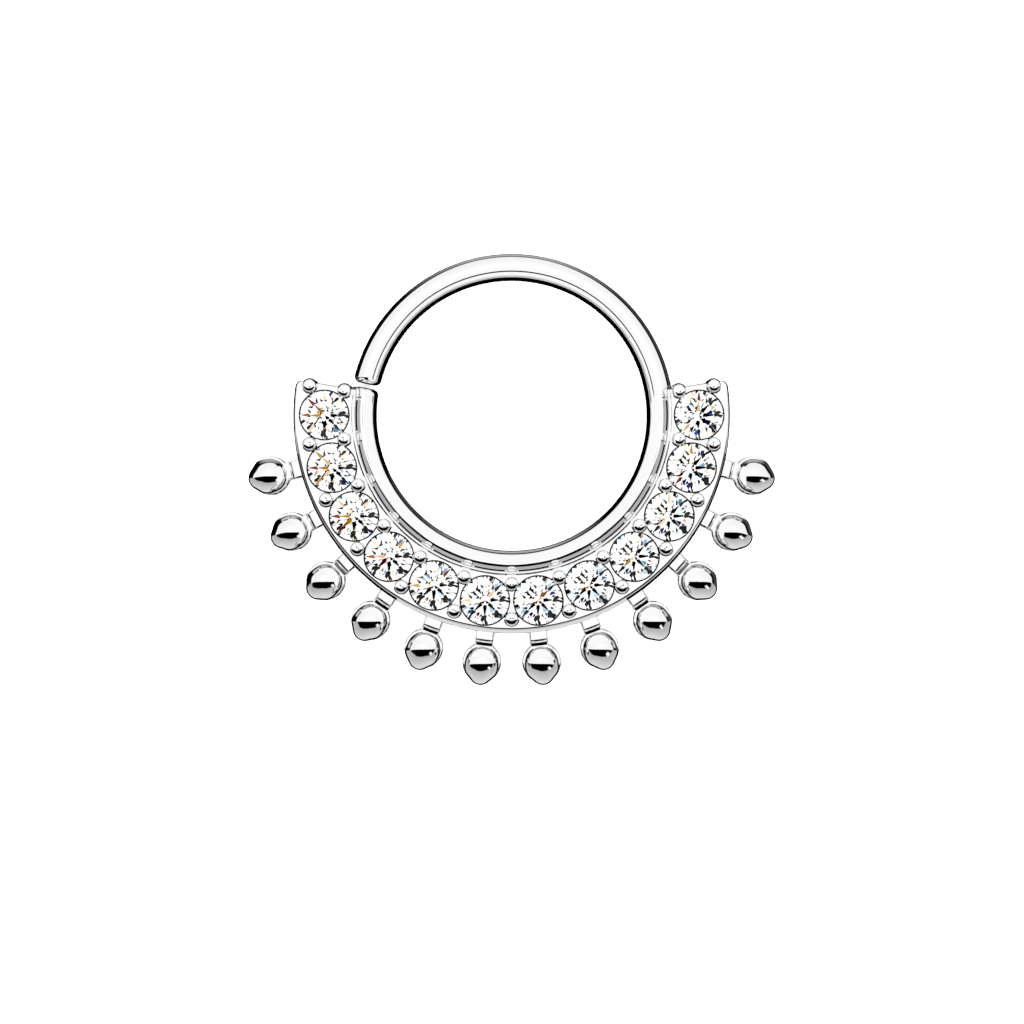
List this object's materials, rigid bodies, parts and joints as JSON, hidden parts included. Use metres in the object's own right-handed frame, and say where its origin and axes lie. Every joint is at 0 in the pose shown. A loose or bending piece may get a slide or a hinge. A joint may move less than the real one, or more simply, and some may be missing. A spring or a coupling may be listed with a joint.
{
  "type": "bendable hoop ring",
  "caption": "Cut wire hoop for a body piercing, with a half-moon gallery of prong-set round clear stones and a fringe of domed drops.",
  "frame": {"origin": "middle of the part's box, at the flat back that it rests on; the hoop's centre is 1.59 mm towards +Y from it", "axes": "+X to the right of the face, +Y from the fringe of drops up to the top of the hoop, +Z out of the face, through the stones' tables"},
  "size_m": [0.0156, 0.0128, 0.0014],
  "materials": {
    "polished_steel": "mirror-polished surgical steel",
    "clear_crystal": "polished facets of clear cubic zirconia"
  },
  "bodies": {
    "root": {"hoop_setting": "polished_steel", "stone_01": "clear_crystal", "stone_02": "clear_crystal", "stone_03": "clear_crystal", "stone_04": "clear_crystal", "stone_05": "clear_crystal", "stone_06": "clear_crystal", "stone_07": "clear_crystal", "stone_08": "clear_crystal", "stone_09": "clear_crystal", "stone_10": "clear_crystal", "stone_11": "clear_crystal", "stone_12": "clear_crystal"}
  },
  "joints": []
}
